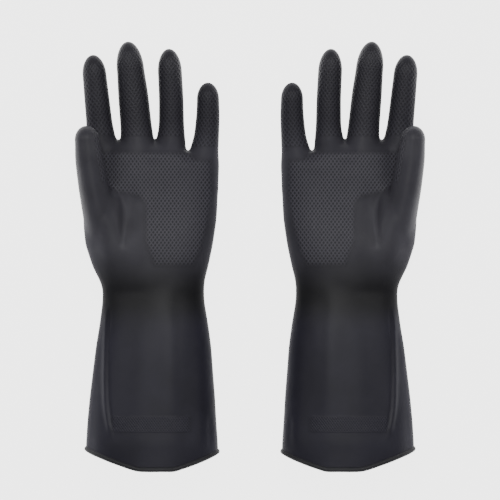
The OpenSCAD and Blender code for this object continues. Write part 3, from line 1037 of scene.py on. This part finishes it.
class Maker:
    """A material and its nodes."""

    def __init__(self, name, **constants):
        self.material = bpy.data.materials.new(name)
        self.material.use_nodes = True
        self.tree = self.material.node_tree
        self.shader = self.tree.nodes["Principled BSDF"]
        for socket, value in constants.items():
            self.shader.inputs[socket.replace("_", " ")].default_value = value

    def node(self, kind, inputs=None, **settings):
        node = self.tree.nodes.new(kind)
        for key, value in settings.items():
            setattr(node, key, value)
        for socket, value in (inputs or {}).items():
            self.feed(node.inputs[socket], value)
        return node

    def feed(self, socket, value):
        if isinstance(value, Value):
            self.tree.links.new(value.socket, socket)
        else:
            socket.default_value = value

    def fact(self, name):
        """One of the numbers stored with the mesh's points."""
        return Value(self, self.node("ShaderNodeAttribute", attribute_name=name).outputs["Fac"])

    def noise(self, scale, detail=3.0, roughness=0.5):
        """Cloudy noise from 0 to 1 over the object's own coordinates, scale cells a metre."""
        place = Value(self, self.node("ShaderNodeTexCoord").outputs["Object"])
        node = self.node("ShaderNodeTexNoise", {"Vector": place, "Scale": scale, "Detail": detail,
                                                "Roughness": roughness})
        return Value(self, node.outputs["Fac"])

    def own_place(self, axis):
        """One of the object's own coordinates, in metres: Y runs up the glove, Z off the table."""
        place = Value(self, self.node("ShaderNodeTexCoord").outputs["Object"])
        return Value(self, self.node("ShaderNodeSeparateXYZ", {0: place}).outputs[axis])

    def range(self, value, low, high, to_low, to_high, **settings):
        node = self.node("ShaderNodeMapRange", {"Value": value, 1: low, 2: high, 3: to_low, 4: to_high},
                         **settings)
        return Value(self, node.outputs[0])

    def smooth_range(self, *places):
        return self.range(*places, interpolation_type="SMOOTHSTEP")

    def mix(self, share, first, second):
        node = self.node("ShaderNodeMix", {0: share, 6: first, 7: second}, data_type="RGBA")
        return Value(self, node.outputs[2])

    def bump(self, height, distance, strength=1.0):
        node = self.node("ShaderNodeBump", {"Height": height, "Distance": distance, "Strength": strength})
        return Value(self, node.outputs["Normal"])


# The hand's tone below is painted lighter, as painted light, and the wrist's darker, as painted shade.
SLEEVE_TONE = (0.0180, 0.0170, 0.0250)
WRIST_SHADED_TONE = (0.0125, 0.0123, 0.0138)
HAND_LIT_TONE = (0.0385, 0.0370, 0.0450)
FINGER_TONE = (0.0240, 0.0230, 0.0285)
ROLL_TONE = (0.0210, 0.0208, 0.0235)
COAT_HEIGHTS = (0.026, 0.043)       # the coat comes in over these heights at the wrist, in metres
COAT_RISE = 0.075                   # how much higher they lie for each metre towards the cuff
MOST_COAT = 0.36


def shade(tone, share):
    """A tone made lighter or darker, with an alpha of 1."""
    return (*(share * part for part in tone), 1)


def glove_tone_lit_and_shaded(maker, share):
    """The rubber's tone up the glove, with light and shade painted in: the hand is painted lighter as
    painted light, the creased wrist darkest as painted shade, and the fingers a little darker than the hand.
    Each step is an even S curve over the place's own y, so no step in colour shows where two pieces meet."""
    to_wrist = maker.smooth_range(maker.own_place("Y"), -0.064, -0.036, 0, 1)
    to_hand = maker.smooth_range(maker.own_place("Y"), -0.032, 0.006, 0, 1)
    to_fingers = maker.smooth_range(maker.own_place("Y"), 0.084, 0.120, 0, 1)
    lower = maker.mix(to_wrist, shade(SLEEVE_TONE, share), shade(WRIST_SHADED_TONE, share))
    upper = maker.mix(to_fingers, shade(HAND_LIT_TONE, share), shade(FINGER_TONE, share))
    return maker.mix(to_hand, lower, upper)


def rubber(name, roll=False):
    """Black rubber. Its colour drifts between two near blacks in soft clouds, and on the grip the raised
    lines are painted lighter, as painted highlight, and the pits darker, as painted shade; the lines are
    also a little smoother.
    A fine grain breaks up the sheen. The sheen itself is a weak coat that handling leaves on the upper side
    only; the flanks stay matt. The flanks stand higher at the flared cuff, so the height at which the coat
    begins rises towards it."""
    maker = Maker(name, IOR=1.08, Coat_IOR=1.5, Coat_Roughness=0.42)
    level = maker.own_place("Z") + COAT_RISE * maker.own_place("Y")
    handled = maker.smooth_range(level, *COAT_HEIGHTS, 0, MOST_COAT)
    maker.feed(maker.shader.inputs["Coat Weight"], handled)
    clouds = maker.range(maker.noise(28, 3), 0.35, 0.65, 0, 1)
    grain = maker.noise(2600, 2)
    smudges = maker.range(maker.noise(90, 4, 0.6), 0.3, 0.7, 0, 1)
    grip, zone, inside = maker.fact("grip"), maker.fact("zone"), maker.fact("inside")

    def tone(share):
        return shade(ROLL_TONE, share) if roll else glove_tone_lit_and_shaded(maker, share)

    plain = maker.mix(clouds, tone(0.9), tone(1.15))
    # The pits are painted darker, as painted shade, and the raised lines lighter, as painted highlight.
    relief_light_and_shade = maker.mix(grip, tone(0.48), tone(1.6))
    colour = maker.mix(zone, plain, relief_light_and_shade)
    maker.feed(maker.shader.inputs["Base Color"], maker.mix(inside, colour, tone(1.8)))
    roughness = 0.46 + 0.07 * smudges + 0.12 * inside + 0.06 * zone - 0.06 * grip
    maker.feed(maker.shader.inputs["Roughness"], roughness)
    maker.feed(maker.shader.inputs["Normal"], maker.bump(grain, 0.00004))
    return maker.material


SLEEVE_RUBBER = rubber("sleeve_rubber")
GRIP_RUBBER = rubber("grip_rubber")
BEAD_RUBBER = rubber("bead_rubber", roll=True)

# %% [markdown]
# ## Making all the pieces
# The arrays are worked out once, and each hand's pieces are built from them.

# %% Build both gloves
SLEEVE_ANGLES = tube_angles()
SLEEVE_GRID = sleeve_grid(SLEEVE_ANGLES)
SLEEVE_SKIN = raise_grid(SLEEVE_GRID, *band_relief(SLEEVE_GRID))
for digit, shape in SHAPES.items():
    shape["skin"] = make_digit_skin(digit, shape)
PALM_SKIN = make_palm_skin()
for hand in ("left", "right"):
    make_sleeve(hand)
    make_bead(hand)
    make_palm(hand)
    for digit in DIGITS:
        make_digit(hand, digit)

# %% [markdown]
# ## Floor, light and camera
# The gloves lie on a pale table under very soft light, and are seen from straight above through a
# long lens, which keeps both gloves square to the view.

# %% Stage
VIEW_WIDTH = 0.4205
CAMERA_HEIGHT = 3.0
GLOVE_TOP = 0.025       # the height at which the view is as wide as said
VIEW_MIDDLE = 0.005     # along y
LIGHTS = {      # place, target, size and power of each soft light
    "top_light": ((0, 0.5, 1.3), (0, 0.02, 0), 0.55, 6.5),
    "foot_light": ((0, -0.55, 1.3), (0, 0.02, 0), 0.55, 3),
    "left_light": ((-0.62, 0.32, 0.72), (-0.05, 0.03, 0), 0.4, 1.6),
    "right_light": ((0.62, 0.32, 0.72), (0.05, 0.03, 0), 0.4, 1.6),
}


def make_floor():
    mesh = bpy.data.meshes.new("floor")
    mesh.from_pydata([(-9, -9, 0), (9, -9, 0), (9, 9, 0), (-9, 9, 0)], [], [(0, 1, 2, 3)])
    floor = bpy.data.objects.new("floor", mesh)
    bpy.context.scene.collection.objects.link(floor)
    paper = Maker("floor_paper", Base_Color=(0.3, 0.3, 0.298, 1), Roughness=0.9, Specular_IOR_Level=0.0,
                  Emission_Color=(1, 1, 0.995, 1), Emission_Strength=3.6)
    mesh.materials.append(paper.material)


def add_light(name, place, target, size, power):
    """A square soft light that faces its target."""
    lamp = bpy.data.lights.new(name, "AREA")
    lamp.shape, lamp.size, lamp.energy = "SQUARE", size, power
    light = bpy.data.objects.new(name, lamp)
    light.location = place
    light.rotation_euler = (Vector(target) - Vector(place)).to_track_quat("-Z", "Y").to_euler()
    bpy.context.scene.collection.objects.link(light)


def add_camera():
    lens = bpy.data.cameras.new("camera")
    lens.sensor_width = 36
    lens.lens = lens.sensor_width * (CAMERA_HEIGHT - GLOVE_TOP) / VIEW_WIDTH
    camera = bpy.data.objects.new("camera", lens)
    camera.location = (0, VIEW_MIDDLE, CAMERA_HEIGHT)
    bpy.context.scene.collection.objects.link(camera)
    bpy.context.scene.camera = camera


make_floor()
for name, values in LIGHTS.items():
    add_light(name, *values)
world = bpy.data.worlds.new("studio")
bpy.context.scene.world = world
world.use_nodes = True
world.node_tree.nodes["Background"].inputs["Color"].default_value = (1, 1, 1, 1)
world.node_tree.nodes["Background"].inputs["Strength"].default_value = 0.3
add_camera()
